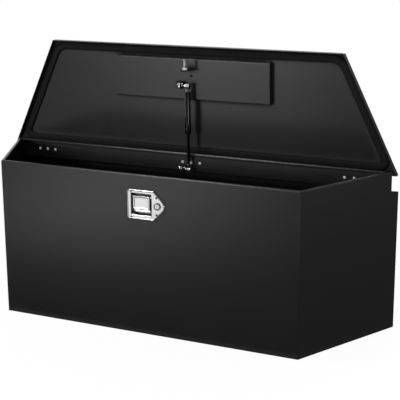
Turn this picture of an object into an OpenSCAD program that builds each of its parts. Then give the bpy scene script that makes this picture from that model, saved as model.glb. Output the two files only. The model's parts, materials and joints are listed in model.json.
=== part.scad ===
// Trailer tongue box: a steel chest that stands on the A-frame of a trailer.
// The origin is the centre of the base, +Y points to the wide rear wall, +Z is up.
// The lid is drawn open, as its gas strut holds it.

/* [Box] */
// Height of the box from its base to the rim
box_height = 457; // [380:1:600]
// Depth from the front wall to the lower rear wall
box_depth = 338; // [300:1:450]
// Width across the front wall
front_width = 914; // [760:1:1100]
// Width across the rear wall
rear_width = 1238; // [1150:1:1500]
// Thickness of the box's sheet
wall = 2; // [1.5:0.1:3]
// Inside radius of the folds in the sheet
fold_r = 1.5; // [1:0.1:3]
// Width of the rim that is folded inwards
rim_width = 10; // [8:0.5:16]
// Height of the lip under the rim
rim_lip = 7; // [5:0.5:12]
// Depth of the recess that the open lid swings into
recess_depth = 26; // [25:0.5:40]
// Drop from the rim to the ledge of the recess
recess_drop = 56; // [52:0.5:80]
// Fall of the ledge, so that rain runs off
ledge_fall = 5; // [2:0.5:12]
// Height of the floor's turned-up edge
floor_edge = 16; // [10:1:30]

/* [Lid] */
// Angle to which the strut opens the lid
lid_open = 88; // [70:1:90]
// Thickness of the lid's sheet
lid_sheet = 2; // [1.5:0.1:2.5]
// Reach of the lid's flange outside the walls
lid_reach = 7.8; // [7.6:0.1:10]
// Height of the lid's top above the rim
lid_rise = 10; // [9:0.5:14]
// Depth of the lid's flange below its top
lid_flange = 20; // [18:0.5:20]
// Width of the rubber seal inside the lid
seal_width = 23; // [12:1:25]
// Gap between the seal and the lid's flange
seal_gap = 3; // [2:0.5:5]
// Gap left under the seal when the lid is shut
seal_clear = 0.3; // [0.2:0.05:1]
// Radius of the seal's bend at the two front corners
seal_bend = 45; // [30:1:80]
// Radius of the seal's bend at the two rear corners
seal_rear_bend = 20; // [16:1:40]

/* [Stiffening pan] */
// Width of the pan under the lid
pan_width = 496; // [300:2:700]
// Length of the pan from front to back
pan_length = 118; // [110:1:160]
// Depth of the pan below the lid's sheet
pan_depth = 15; // [10:0.5:18]
// Distance of the pan from the front wall
pan_setback = 29; // [24:1:60]
// Width of a weld tab on the pan's front edge
tab_width = 14; // [8:1:24]
// Longest reach of a weld tab
tab_reach = 8; // [5:0.5:10]
// Radius of the spare hole in the pan
pan_hole_r = 3; // [2:0.5:5]
// Distance of the spare hole from the pan's front edge
pan_hole_setback = 49; // [40:0.5:60]

/* [Hinges] */
// Distance of the outer hinges from the ends of the upper rear wall
hinge_inset = 106; // [80:1:300]
// Width of one hinge
hinge_width = 76; // [64:1:100]
// Radius of a hinge pin
hinge_pin_r = 1.3; // [1.2:0.05:1.4]
// Outer radius of a knuckle
knuckle_r = 2.4; // [2.1:0.05:2.5]
// Thickness of a hinge leaf
leaf = 1.2; // [0.8:0.1:1.4]
// Distance of the hinge axis behind the upper rear wall
axis_back = 2.9; // [2.8:0.05:3.1]
// Drop of the hinge axis below the rim
axis_drop = 9; // [8:0.5:10]
// Length of the leaf on the box, below the axis
box_leaf_drop = 33; // [30:1:33]
// Distance between the rivets of a leaf
rivet_pitch = 28; // [20:1:32]
// Radius of a rivet's shank
rivet_r = 2.4; // [2:0.1:2.8]
// Radius of a rivet's head
rivet_head_r = 4.4; // [3.6:0.1:4.8]
// Height of a rivet's head
rivet_head_h = 1.3; // [0.8:0.1:1.4]

/* [Gas strut] */
// Distance of the upper ball from the front wall, lid shut
upper_ball_setback = 104; // [90:1:115]
// Height of the upper ball below the pan, lid shut
upper_ball_drop = 22; // [18:0.5:26]
// Distance of the lower ball from the upper rear wall's inner face
lower_ball_reach = 16; // [15:0.5:20]
// Drop of the lower ball below the rim
lower_ball_drop = 47; // [45:0.5:48]
// Radius of the balls
ball_r = 5; // [4:0.1:5.4]
// Radius of the ball sockets
socket_r = 8; // [7:0.1:9]
// Radius of the strut's tube
tube_r = 9; // [8:0.1:11]
// Wall of the strut's tube
tube_wall = 1.5; // [1:0.1:2]
// Length of the strut's tube
tube_length = 123; // [110:1:130]
// Radius of the strut's rod
rod_r = 4; // [3:0.1:5]
// Distance from a ball to the end of its socket's neck
neck_length = 17; // [14:0.5:20]
// Thickness of the strut brackets
bracket = 3; // [2:0.5:4]
// Size across the flats of the small nuts
nut_size = 13; // [11:0.5:14]
// Thickness of the small nuts
nut_h = 6.5; // [5:0.5:7]
// Radius of the studs' threaded ends
stud_r = 4; // [3:0.1:4.5]

/* [Striker] */
// Distance of the striker to the right of the box's middle
striker_x = 3; // [0:0.5:5]
// Radius of the striker bolt
striker_r = 3; // [2.5:0.1:4.2]
// Drop of the striker bolt below the rim, lid shut
striker_drop = 48; // [46:0.5:50]
// Distance of the bolt's free end from the front wall
striker_start = 22.2; // [22:0.1:24]
// Distance of the striker's tab from the front wall
striker_setback = 54; // [48:1:60]
// Width of the striker's tab
striker_tab_width = 24; // [18:1:34]
// Size across the flats of the striker's nut
striker_nut_size = 13; // [10:0.5:14]

/* [Latch] */
// Drop of the latch's middle below the rim
latch_drop = 84; // [83:0.5:85]
// Thickness of the latch's face plate
latch_plate = 2; // [1.5:0.1:2.5]
// Distance from the latch's middle to the face plate's left edge
face_left = 45; // [43:0.5:48]
// Distance from the latch's middle to the start of the plate's point
face_shoulder = 35; // [33:0.5:36]
// Half the height of the face plate
face_half = 41.7; // [41:0.1:44]
// Radius of the face plate's left corners
face_corner = 8; // [4:0.5:10]
// Sheet of the finger cup
cup_sheet = 1.5; // [1:0.1:2]
// Width inside the finger cup
cup_width = 62; // [58:1:66]
// Height inside the finger cup
cup_height = 60; // [56:1:61]
// Depth of the finger cup behind the front wall's face
cup_depth = 20; // [18:0.5:20]
// Width of the paddle
paddle_width = 50; // [44:1:54]
// Thickness of the paddle's sheet
paddle_sheet = 2; // [1.5:0.1:2.5]
// Angle through which the paddle is pulled
paddle_pull = 30; // [20:1:32]
// Radius of the paddle's pin
paddle_pin_r = 2; // [1.5:0.1:2.4]
// Distance of the lock from the latch's middle line
lock_x = 48; // [46:0.5:50]
// Radius of the lock's barrel
barrel_r = 8; // [7:0.1:8.4]
// Radius of the lock's turning plug
plug_r = 6; // [5:0.1:6.5]
// Radius of the mounting screws
screw_r = 2.4; // [2:0.1:2.6]
// Radius of the latch's nose
nose_r = 19; // [17:0.5:20]
// Radius of the claw's hub
claw_r = 17.5; // [16:0.1:17.6]
// Radius to the tip of the claw's hook
hook_r = 31; // [28:0.5:33]
// Angle that the claw turns between open and shut
claw_turn = 60; // [50:1:65]
// Thickness of the claw and of the pawl
claw_h = 4; // [3:0.5:5]

/* [Hidden] */
$fn = 40;

// Clearance of a shaft in its bore, of a fastener in its hole, and between bodies
run_fit = 0.05;
hole_fit = 0.1;
body_gap = 0.3;

front_y = -box_depth / 2;
rear_y = box_depth / 2;
recess_y = rear_y - recess_depth;
recess_inner_y = recess_y - wall;
flare = (rear_width - front_width) / 2 / box_depth;
side_angle = atan(flare);
// How much further out along X a line lies that is one unit outside a slanted side
slant = 1 / cos(side_angle);
side_length = box_depth * slant;
ledge_z = box_height - recess_drop;

axis_y = recess_y + axis_back;
axis_z = box_height - axis_drop;
hinge_x = side_x(recess_y) - hinge_inset;
hinge_places = [-hinge_x, 0, hinge_x];
knuckles = 5;
knuckle_length = hinge_width / knuckles;
// Height of the rivets above the lower end of the leaf on the box
box_rivet_rise = 12.5;
box_rivet_z = axis_z - box_leaf_drop + box_rivet_rise;

lid_top = box_height + lid_rise;
lid_under = lid_top - lid_sheet;
lid_bottom = lid_top - lid_flange;
lid_front = front_y - lid_reach;
lid_rear = recess_y + lid_reach;
flange_inner_y = lid_rear - lid_sheet;
seal_height = lid_rise - lid_sheet - seal_clear;
seal_inset = lid_sheet + seal_gap - lid_reach;
pan_face = lid_under - pan_depth;
pan_front = front_y + pan_setback;
// The weld tabs stand near the pan's ends and at both sides of the latch
tab_end_inset = 12;
tab_middle_x = 80;
// They end short of the seal, however wide it is
tab_out = min(tab_reach, pan_setback - seal_inset - seal_width - body_gap);

upper_ball_closed = [front_y + upper_ball_setback, pan_face - upper_ball_drop];
lower_ball_at = [recess_inner_y - lower_ball_reach, box_height - lower_ball_drop];
upper_ball_at = opened(upper_ball_closed);
strut_run = upper_ball_at - lower_ball_at;
strut_length = norm(strut_run);
strut_lean = atan2(-strut_run[0], strut_run[1]);
tube_end = strut_length - neck_length;
tube_start = tube_end - tube_length;
guide_h = 8;
// The piston rests this far inside the rod's guide when the strut is long
piston_h = 8;
piston_gap = 4;
piston_z = tube_start + guide_h + piston_gap;
stud_neck = 12;
stud_flange = 5;
bracket_x = stud_neck + stud_flange;
// Thread that stands out past a nut
stud_spare = 4.5;
// Bolt that stands out behind the striker's tab
striker_spare = 1;
stud_end = bracket_x + bracket + nut_h + stud_spare;
foot_width = 27;
foot_height = 18;
foot_rivet_near = 9.5;
foot_rivet_far = 21.5;
foot_rivets = [-bracket_x - foot_rivet_near, -bracket_x - foot_rivet_far];

striker_z = box_height - striker_drop;
striker_end = striker_setback + bracket + striker_spare;

latch_z = box_height - latch_drop;
cup_x = -1;
cup_z = latch_z + 1;
cup_back = cup_depth + cup_sheet;
// Place of the paddle's pin: behind the front wall's face and below the top of the cup
pin_y = 5;
pin_drop = 10;
pin_z = cup_z + cup_height / 2 - pin_drop;
// Reach behind the pin of the paddle's cheeks, and of the arm on the right one
cheek_reach = 4;
arm_reach = 19;
arm_half = 2;
window_side = 1.5;
window_spare = 3.5;
// The two latch plates, and the layer between them where the claw and the pawl turn
plate_h = 2.5;
plate_left = -44;
plate_right = 27;
plate_low = -21;
plate_high = 51;
plate_corner = 5;
slot_side = 1.5;
layer_y = cup_back + plate_h;
layer_gap = 6.5;
cover_y = layer_y + layer_gap;
claw_at = [striker_x - 20, latch_z + 27];
pawl_at = [18, latch_z + 15];
claw_pin_r = 3;
pawl_pin_r = 2.5;
screw_places = [[-32, 37], [-32, -37], [46, 24], [46, -24]];
spacer_places = [[-36, -15], [22, -15], [21, 44], [-38, 11]];

// Half the width of the box at depth y, less an inset measured square to the side
function side_x(y, inset = 0) = front_width / 2 + flare * (y - front_y) - inset * slant;

// Place in the open lid of a point [y, z] that is given with the lid shut
function opened(p) = let (y = p[0] - axis_y, z = p[1] - axis_z)
    [axis_y + y * cos(lid_open) + z * sin(lid_open), axis_z - y * sin(lid_open) + z * cos(lid_open)];

function unit(v) = v / norm(v);
function left_of(v) = [-v[1], v[0]];
function turned(v, a) = [v[0] * cos(a) - v[1] * sin(a), v[0] * sin(a) + v[1] * cos(a)];
function bend_side(a, b, c) = sign((b[0] - a[0]) * (c[1] - b[1]) - (b[1] - a[1]) * (c[0] - b[0]));
function last(list) = len(list) - 1;

// A path moved sideways by t, with its corners mitred
function beside(p, t) = [for (i = [0:last(p)])
    let (before = unit(p[max(i, 1)] - p[max(i, 1) - 1]),
        after = unit(p[min(i, last(p) - 1) + 1] - p[min(i, last(p) - 1)]),
        n = left_of(before), m = left_of(after))
    p[i] + t * (n + m) / (1 + n * m)];

// Points of an arc of radius r that rounds the corner b between a and c
function corner_arc(a, b, c, r, steps = 4) =
    let (u = unit(a - b), v = unit(c - b), half = acos(u * v) / 2,
        centre = b + unit(u + v) * r / sin(half), start = b + u * r / tan(half) - centre,
        sweep = bend_side(a, b, c) * (180 - 2 * half))
    [for (k = [0:steps]) centre + turned(start, sweep * k / steps)];

// A path with its inner corners rounded, each to its own radius
function rounded(p, radii, steps = 4) = [for (i = [0:last(p)])
    each (i == 0 || i == last(p) ? [p[i]] : corner_arc(p[i - 1], p[i], p[i + 1], radii[i], steps))];

// A closed outline with all its corners rounded to r
function rounded_outline(p, r, steps = 6) = [for (i = [0:last(p)])
    each corner_arc(p[(i + last(p)) % len(p)], p[i], p[(i + 1) % len(p)], r, steps)];

// Outline of a folded sheet: t is its thickness, to the left of the path, or right if negative
function folded(p, t, r = fold_r) =
    let (outer_first = [for (i = [0:last(p)])
            i > 0 && i < last(p) && bend_side(p[i - 1], p[i], p[i + 1]) * t > 0 ? r + abs(t) : r],
        other = [for (k = outer_first) 2 * r + abs(t) - k],
        near = rounded(p, outer_first), far = rounded(beside(p, t), other))
    concat(near, [for (i = [last(far):-1:0]) far[i]]);

// An outline in Y and Z drawn out along X, and one in X and Z drawn out along Y
module along_x(length) rotate([90, 0, 90]) translate([0, 0, -length / 2]) linear_extrude(length) children();
module along_y(length) translate([0, length, 0]) rotate([90, 0, 0]) linear_extrude(length) children();

// A run along the right side wall: its outline has X = 0 on the wall's outer face
module along_side() translate([front_width / 2, front_y, 0]) rotate([0, 0, -side_angle])
    translate([0, -rear_width, 0]) along_y(2 * rear_width + side_length) children();

// The space in plan inside a line that runs at an inset inside the walls
module plan_prism(inset, back_y, low, high) {
    front = side_x(front_y + inset, inset);
    back = side_x(back_y, inset);
    translate([0, 0, low]) linear_extrude(high - low)
        polygon([[-front, front_y + inset], [front, front_y + inset], [back, back_y], [-back, back_y]]);
}

// A cylinder along X or Y from one coordinate to another
module bar_x(r, from, to) translate([from, 0, 0]) rotate([0, 90, 0]) cylinder(h = to - from, r = r);
module bar_y(r, from, to) translate([0, from, 0]) rotate([-90, 0, 0]) cylinder(h = to - from, r = r);
module hex_x(size, from, to) translate([from, 0, 0]) rotate([0, 90, 0])
    cylinder(h = to - from, r = size / sqrt(3), $fn = 6);
module hex_y(size, from, to) translate([0, from, 0]) rotate([-90, 0, 0])
    cylinder(h = to - from, r = size / sqrt(3), $fn = 6);

// A low domed head that stands on the plane Z = 0
module dome(r, h) rotate_extrude() polygon(concat([[0, 0], [r, 0]],
    [for (a = [15:15:75]) [r * cos(a), h * sin(a)]], [[0, h]]));

// A rivet along +Y that clamps from y = from to y = to
module rivet(from, to) {
    bar_y(rivet_r, from, to);
    translate([0, to, 0]) rotate([-90, 0, 0]) dome(rivet_head_r, rivet_head_h);
    translate([0, from, 0]) rotate([90, 0, 0]) dome(rivet_head_r, rivet_head_h);
}

// Puts what is drawn with the lid shut onto the open lid
module on_lid() translate([0, axis_y, axis_z]) rotate([-lid_open, 0, 0])
    translate([0, -axis_y, -axis_z]) children();

// The front wall, folded over into the rim, with the cut-outs for the latch
module front_panel() color("#1c1c1e") difference() {
    intersection() {
        along_x(rear_width) polygon(folded([[front_y, 0], [front_y, box_height],
            [front_y + rim_width, box_height], [front_y + rim_width, box_height - rim_lip]], -wall));
        front_wedge();
    }
    translate([cup_x, front_y - 1, cup_z]) along_y(wall + 2)
        polygon(cup_outline(cup_sheet + body_gap));
    translate([lock_x, front_y, latch_z]) bar_y(barrel_r + 4 * run_fit, -1, wall + 1);
    at_screws() bar_y(screw_r + hole_fit, -1, wall + 1);
}

// Plan shape between the mitred front corners
module front_wedge() linear_extrude(box_height) polygon([
    [-side_x(front_y), front_y], [side_x(front_y), front_y],
    [side_x(front_y + 3 * rim_width, 3 * rim_width), front_y + 3 * rim_width],
    [-side_x(front_y + 3 * rim_width, 3 * rim_width), front_y + 3 * rim_width]]);

// Outline of the side walls in Y and Z, with the step for the open lid
side_outline = [[front_y, 0], [rear_y, 0], [rear_y, ledge_z - ledge_fall], [recess_y, ledge_z],
    [recess_y, box_height], [front_y, box_height]];

module side_wall() difference() {
    intersection() {
        along_side() polygon(folded([[0, 0], [0, box_height], [-rim_width, box_height],
            [-rim_width, box_height - rim_lip]], wall));
        along_x(2 * rear_width) polygon(side_outline);
    }
    front_corner_cut();
}

// What lies in front of the mitre at the front corner
module front_corner_cut() translate([0, 0, -1]) linear_extrude(box_height + 2) polygon([
    [side_x(front_y - 40, -40), front_y - 40], [0, front_y - 40],
    [0, front_y + 3 * rim_width], [side_x(front_y + 3 * rim_width, 3 * rim_width), front_y + 3 * rim_width],
    [side_x(front_y), front_y]]);

module right_side_panel() color("#161618") side_wall();
module left_side_panel() color("#161618") mirror([1, 0, 0]) side_wall();

// The rear wall steps forward under the hinges, so that the open lid stays within the box's depth
module rear_panel() color("#161618") difference() {
    intersection() {
        along_x(2 * rear_width) polygon(folded([[rear_y, 0], [rear_y, ledge_z - ledge_fall],
            [recess_y, ledge_z], [recess_y, box_height], [recess_y - rim_width, box_height],
            [recess_y - rim_width, box_height - rim_lip]], wall));
        union() {
            plan_prism(wall, rear_y, 0, box_height - rim_lip);
            plan_prism(rim_width, rear_y, box_height - rim_lip - 1, box_height);
        }
    }
    at_hinge_rivets(box_rivet_z) bar_y(rivet_r + hole_fit, recess_inner_y - 1, recess_y + 1);
    at_lower_bracket() at_foot_rivets() rotate([90, 0, 0]) bar_y(rivet_r + hole_fit, -wall - 1, 1);
}

// The floor is a shallow tray, welded in between the walls
module floor_panel() color("#141416") difference() {
    plan_prism(wall, rear_y - wall, 0, floor_edge);
    plan_prism(2 * wall, rear_y - 2 * wall, wall, floor_edge + 1);
}

// Where the rivets of the three hinges stand, at height z
module at_hinge_rivets(z) for (x = hinge_places, k = [-1:1])
    translate([x + k * rivet_pitch, 0, z]) children();

// One hinge's knuckles: first is 0 for those of the box and 1 for those of the lid
module knuckle_row(first) for (i = [first:2:knuckles - 1])
    bar_x(knuckle_r, -hinge_width / 2 + i * knuckle_length + body_gap / 2,
        -hinge_width / 2 + (i + 1) * knuckle_length - body_gap / 2);

module knuckle_tabs(first, y, low, high) for (i = [first:2:knuckles - 1])
    translate([-hinge_width / 2 + i * knuckle_length + body_gap / 2, y, low])
        cube([knuckle_length - body_gap, leaf, high - low]);

module box_leaf(x) color("#1a1a1c") difference() {
    union() {
        translate([x, axis_y, axis_z]) knuckle_row(0);
        translate([x, 0, 0]) knuckle_tabs(0, recess_y, axis_z - box_leaf_drop, axis_z);
        translate([x - hinge_width / 2, recess_y, axis_z - box_leaf_drop])
            cube([hinge_width, leaf, box_leaf_drop - knuckle_r - 2 * body_gap]);
    }
    translate([x, axis_y, axis_z]) bar_x(hinge_pin_r + run_fit, -hinge_width, hinge_width);
    for (k = [-1:1]) translate([x + k * rivet_pitch, 0, box_rivet_z])
        bar_y(rivet_r + hole_fit, recess_y - 1, recess_y + leaf + 1);
}

module hinge_box_leaf_left() box_leaf(hinge_places[0]);
module hinge_box_leaf_middle() box_leaf(hinge_places[1]);
module hinge_box_leaf_right() box_leaf(hinge_places[2]);

// The leaf on the lid's flange ends short of the lid's inner bend
lid_leaf_gap = 3;
lid_leaf_top = lid_under - lid_leaf_gap;
lid_rivet_z = (axis_z + knuckle_r + lid_leaf_top + 1) / 2;

module lid_leaf(x) color("#1a1a1c") on_lid() difference() {
    union() {
        translate([x, axis_y, axis_z]) knuckle_row(1);
        translate([x, 0, 0]) knuckle_tabs(1, flange_inner_y - leaf, axis_z, lid_leaf_top);
        translate([x - hinge_width / 2, flange_inner_y - leaf, axis_z + knuckle_r + 2 * body_gap])
            cube([hinge_width, leaf, lid_leaf_top - axis_z - knuckle_r - 2 * body_gap]);
    }
    translate([x, axis_y, axis_z]) bar_x(hinge_pin_r + run_fit, -hinge_width, hinge_width);
    for (k = [-1:1]) translate([x + k * rivet_pitch, 0, lid_rivet_z])
        bar_y(rivet_r + hole_fit, flange_inner_y - leaf - 1, flange_inner_y + 1);
}

module hinge_lid_leaf_left() lid_leaf(hinge_places[0]);
module hinge_lid_leaf_middle() lid_leaf(hinge_places[1]);
module hinge_lid_leaf_right() lid_leaf(hinge_places[2]);

module hinge_pin(x) color("#8f9296") translate([x, axis_y, axis_z])
    bar_x(hinge_pin_r, -hinge_width / 2, hinge_width / 2);

module hinge_pin_left() hinge_pin(hinge_places[0]);
module hinge_pin_middle() hinge_pin(hinge_places[1]);
module hinge_pin_right() hinge_pin(hinge_places[2]);

module hinge_box_rivets() color("#b9bcc0") at_hinge_rivets(box_rivet_z)
    rivet(recess_inner_y, recess_y + leaf);
module hinge_lid_rivets() color("#1a1a1c") on_lid() at_hinge_rivets(lid_rivet_z)
    rivet(flange_inner_y - leaf, lid_rear);

// Solid block of the lid's shape, its faces set in by inset, its top edges rounded to r
module lid_block(inset, low, high, r) intersection() {
    along_x(2 * rear_width) polygon(concat([[lid_front + inset, low]],
        corner_arc([lid_front + inset, low], [lid_front + inset, high], [lid_rear, high], r),
        corner_arc([lid_front, high], [lid_rear - inset, high], [lid_rear - inset, low], r),
        [[lid_rear - inset, low]]));
    lid_side(inset, low, high, r);
    mirror([1, 0, 0]) lid_side(inset, low, high, r);
}

module lid_side(inset, low, high, r) along_side() polygon(concat(
    [[-2 * rear_width, low], [-2 * rear_width, high]],
    corner_arc([-2 * rear_width, high], [lid_reach - inset, high], [lid_reach - inset, low], r),
    [[lid_reach - inset, low]]));

// The lid is a tray turned upside down, one sheet with folded flanges
module lid_shell() color("#1c1c1e") on_lid() difference() {
    lid_block(0, lid_bottom, lid_top, fold_r + lid_sheet);
    lid_block(lid_sheet, lid_bottom - 1, lid_under, fold_r);
    at_hinge_rivets(lid_rivet_z) bar_y(rivet_r + hole_fit, flange_inner_y - 1, lid_rear + 1);
}

// The pan stiffens the lid and carries the strut and the striker
module lid_pan() color("#1c1c1e") on_lid() difference() {
    union() {
        difference() {
            pan_block(0, pan_face);
            pan_block(wall, pan_face + wall);
        }
        for (side = [-1, 1], x = [tab_middle_x, pan_width / 2 - tab_end_inset])
            translate([side * x - tab_width / 2, pan_front - tab_out, lid_under - wall])
                cube([tab_width, tab_out + fold_r, wall]);
    }
    translate([striker_x, pan_front + pan_hole_setback, pan_face - 1])
        cylinder(h = wall + 2, r = pan_hole_r);
    at_upper_bracket() at_foot_rivets() translate([0, 0, -wall - 1])
        cylinder(h = wall + 2, r = rivet_r + hole_fit);
}

// The pan's shape, set in by inset, from z = low up to the lid's sheet
module pan_block(inset, low) intersection() {
    along_x(pan_width - 2 * inset)
        polygon(pan_profile(pan_front + inset, pan_front + pan_length - inset, low));
    translate([0, pan_front, 0]) along_y(pan_length)
        polygon(pan_profile(-pan_width / 2 + inset, pan_width / 2 - inset, low));
}

function pan_profile(a, b, low) = concat([[a, lid_under]],
    corner_arc([a, lid_under], [a, low], [b, low], fold_r),
    corner_arc([a, low], [b, low], [b, lid_under], fold_r), [[b, lid_under]]);

// Section of the bulb seal: flat against the lid, crowned towards the rim
seal_section = concat([[-seal_width / 2, 0], [seal_width / 2, 0]],
    [for (a = [0:30:180]) [seal_width / 2 * cos(a), -seal_height * (0.45 + 0.55 * sin(a))]]);

// The middle line of the seal in plan, a closed loop with rounded corners
seal_mid = seal_inset + seal_width / 2;
seal_front_y = front_y + seal_mid;
seal_rear_y = flange_inner_y - seal_gap - seal_width / 2;
seal_front_x = side_x(seal_front_y, seal_mid);
seal_rear_x = side_x(seal_rear_y, seal_mid);
seal_corners = [[-seal_front_x, seal_front_y], [seal_front_x, seal_front_y],
    [seal_rear_x, seal_rear_y], [-seal_rear_x, seal_rear_y]];
seal_path = [for (i = [0:3]) each corner_arc(seal_corners[(i + 3) % 4], seal_corners[i],
    seal_corners[(i + 1) % 4], i < 2 ? seal_bend : seal_rear_bend, 6)];

// Sideways direction at point i of a closed path, long enough to mitre the corner there
function mitre(p, i) = let (count = len(p), n = left_of(unit(p[i] - p[(i + count - 1) % count])),
    m = left_of(unit(p[(i + 1) % count] - p[i]))) (n + m) / (1 + n * m);

module lid_seal() color("#0b0b0b") on_lid() {
    rings = len(seal_path);
    sides = len(seal_section);
    polyhedron(
        points = [for (i = [0:rings - 1], q = seal_section)
            let (at = seal_path[i] - q[0] * mitre(seal_path, i)) [at[0], at[1], lid_under + q[1]]],
        faces = [for (i = [0:rings - 1], j = [0:sides - 1])
            let (a = i * sides, b = (i + 1) % rings * sides, k = (j + 1) % sides)
            each [[a + j, b + k, a + k], [a + j, b + j, b + k]]]);
}

// A strut bracket stands on the plane Z = 0, and its stud is at the height h
module strut_bracket(h) difference() {
    union() {
        translate([-bracket_x - foot_width, -foot_height / 2, 0]) cube([foot_width, foot_height, bracket]);
        translate([-bracket_x - bracket, -foot_height / 2, 0]) cube([bracket, foot_height, h]);
        translate([0, 0, h]) bar_x(foot_height / 2, -bracket_x - bracket, -bracket_x);
    }
    translate([0, 0, h]) bar_x(stud_r + run_fit, -bracket_x - bracket - 1, -bracket_x + 1);
    at_foot_rivets() translate([0, 0, -1]) cylinder(h = bracket + 2, r = rivet_r + hole_fit);
}

module at_foot_rivets() for (x = foot_rivets) translate([x, 0, 0]) children();
module at_upper_bracket() translate([0, upper_ball_closed[0], pan_face]) mirror([0, 0, 1]) children();
module at_lower_bracket() translate([0, recess_inner_y, lower_ball_at[1]]) rotate([90, 0, 0]) children();

// A short rivet along Z that clamps from z = low to z = high
module foot_rivet(low, high) {
    translate([0, 0, low]) cylinder(h = high - low, r = rivet_r);
    translate([0, 0, high]) dome(rivet_head_r, rivet_head_h);
    translate([0, 0, low]) mirror([0, 0, 1]) dome(rivet_head_r, rivet_head_h);
}

module upper_strut_bracket() color("#121212") on_lid() at_upper_bracket() strut_bracket(upper_ball_drop);
module upper_bracket_rivets() color("#b9bcc0") on_lid() at_upper_bracket() at_foot_rivets()
    foot_rivet(-wall, bracket);
module lower_strut_bracket() color("#121212") at_lower_bracket() strut_bracket(lower_ball_reach);
module lower_bracket_rivets() color("#b9bcc0") at_lower_bracket() at_foot_rivets()
    foot_rivet(-wall, bracket);

// Ball and neck, and the flange with its threaded end, about the ball's centre
neck_share = 0.52;
module ball_and_neck(end) {
    sphere(r = ball_r);
    bar_x(ball_r * neck_share, -end, -ball_r * 0.8);
}

module stud_end_part() {
    hex_x(nut_size, -bracket_x, -stud_neck);
    bar_x(stud_r, -stud_end, -bracket_x);
}

module stud_nut() difference() {
    hex_x(nut_size, -bracket_x - bracket - nut_h, -bracket_x - bracket);
    bar_x(stud_r + run_fit, -bracket_x - bracket - nut_h - 1, -bracket_x);
}

module at_upper_ball() on_lid() translate([0, upper_ball_closed[0], upper_ball_closed[1]]) children();
module at_lower_ball() translate([0, lower_ball_at[0], lower_ball_at[1]]) children();
module on_strut() at_lower_ball() rotate([strut_lean, 0, 0]) children();

module upper_stud() color("#b9bcc0") at_upper_ball() stud_end_part();
module upper_stud_nut() color("#b9bcc0") at_upper_ball() stud_nut();
module upper_ball() color("#b9bcc0") on_strut() translate([0, 0, strut_length])
    ball_and_neck(stud_neck - body_gap);
module lower_ball_stud() color("#b9bcc0") at_lower_ball() {
    ball_and_neck(stud_neck);
    stud_end_part();
}
module lower_stud_nut() color("#b9bcc0") at_lower_ball() stud_nut();

// A ball socket with its neck along +Z. Its mouth is narrower than the ball.
mouth_share = 0.84;
socket_neck_wall = 1.6;
module ball_socket() difference() {
    union() {
        bar_x(socket_r, -mouth_share * ball_r, socket_r);
        cylinder(h = neck_length, r = rod_r + socket_neck_wall);
    }
    sphere(r = ball_r + run_fit);
    bar_x(mouth_share * ball_r, -ball_r - 1, -ball_r / 2);
}

module lower_socket() color("#8f9296") on_strut() ball_socket();
module upper_socket() color("#8f9296") on_strut() translate([0, 0, strut_length]) mirror([0, 0, 1])
    ball_socket();
module strut_rod() color("#2a2a2c") on_strut() translate([0, 0, neck_length])
    cylinder(h = piston_z - neck_length, r = rod_r);
module strut_piston() color("#8f9296") on_strut() translate([0, 0, piston_z])
    cylinder(h = piston_h, r = tube_r - tube_wall - hole_fit);
module rod_guide() color("#2a2a2c") on_strut() translate([0, 0, tube_start]) difference() {
    cylinder(h = guide_h, r = tube_r - tube_wall);
    translate([0, 0, -1]) cylinder(h = guide_h + 2, r = rod_r + run_fit);
}

// The tube is closed at the top, and a rolled groove holds the rod's guide in its mouth
groove_z = tube_start + guide_h + 8;
groove_half = 1.5;
groove_depth = 0.7;
tube_edge = 1;
module strut_tube() color("#0e0e10") on_strut() rotate_extrude() polygon([
    [0, tube_end], [tube_r - tube_edge, tube_end], [tube_r, tube_end - tube_edge],
    [tube_r, groove_z + groove_half], [tube_r - groove_depth, groove_z + groove_half / 2],
    [tube_r - groove_depth, groove_z - groove_half / 2], [tube_r, groove_z - groove_half],
    [tube_r, tube_start], [tube_r - tube_wall, tube_start],
    [tube_r - tube_wall, tube_end - 2 * tube_wall], [0, tube_end - 2 * tube_wall]]);

// The striker's tab stands on the pan, and the bolt is held in it by a nut
module at_striker() translate([striker_x, front_y, striker_z]) children();

module striker_tab() color("#121212") on_lid() at_striker() difference() {
    union() {
        translate([-striker_tab_width / 2, striker_setback, 0])
            cube([striker_tab_width, bracket, pan_face - striker_z]);
        bar_y(striker_tab_width / 2, striker_setback, striker_setback + bracket);
    }
    bar_y(striker_r + hole_fit, striker_setback - 1, striker_setback + bracket + 1);
}
module striker_bolt() color("#c4c7ca") on_lid() at_striker() bar_y(striker_r, striker_start, striker_end);
module striker_nut() color("#c4c7ca") on_lid() at_striker() difference() {
    hex_y(striker_nut_size, striker_setback - nut_h, striker_setback);
    bar_y(striker_r + run_fit, striker_setback - nut_h - 1, striker_setback + 1);
}

// Outline of the finger cup about its middle, grown by edge
function cup_outline(edge) = let (w = cup_width / 2 + edge, h = cup_height / 2 + edge)
    rounded_outline([[-w, -h], [w, -h], [w, h], [-w, h]], 3 + edge);

// Outline of the face plate about the latch's middle: square on the left, pointed round the lock
nose_reach = norm([face_shoulder - lock_x, face_half]);
nose_angle = atan2(face_half, face_shoulder - lock_x) - acos(nose_r / nose_reach);
face_outline = concat(
    corner_arc([face_shoulder, face_half], [-face_left, face_half], [-face_left, -face_half], face_corner),
    corner_arc([-face_left, face_half], [-face_left, -face_half], [face_shoulder, -face_half], face_corner),
    [[face_shoulder, -face_half]],
    [for (k = [-8:8]) [lock_x + nose_r * cos(nose_angle * k / 8), nose_r * sin(nose_angle * k / 8)]],
    [[face_shoulder, face_half]]);

module at_latch() translate([0, front_y, latch_z]) children();
module at_screws() at_latch() for (p = screw_places) translate([p[0], 0, p[1]]) children();
module at_paddle_pin() translate([cup_x, front_y + pin_y, pin_z]) children();

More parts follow.
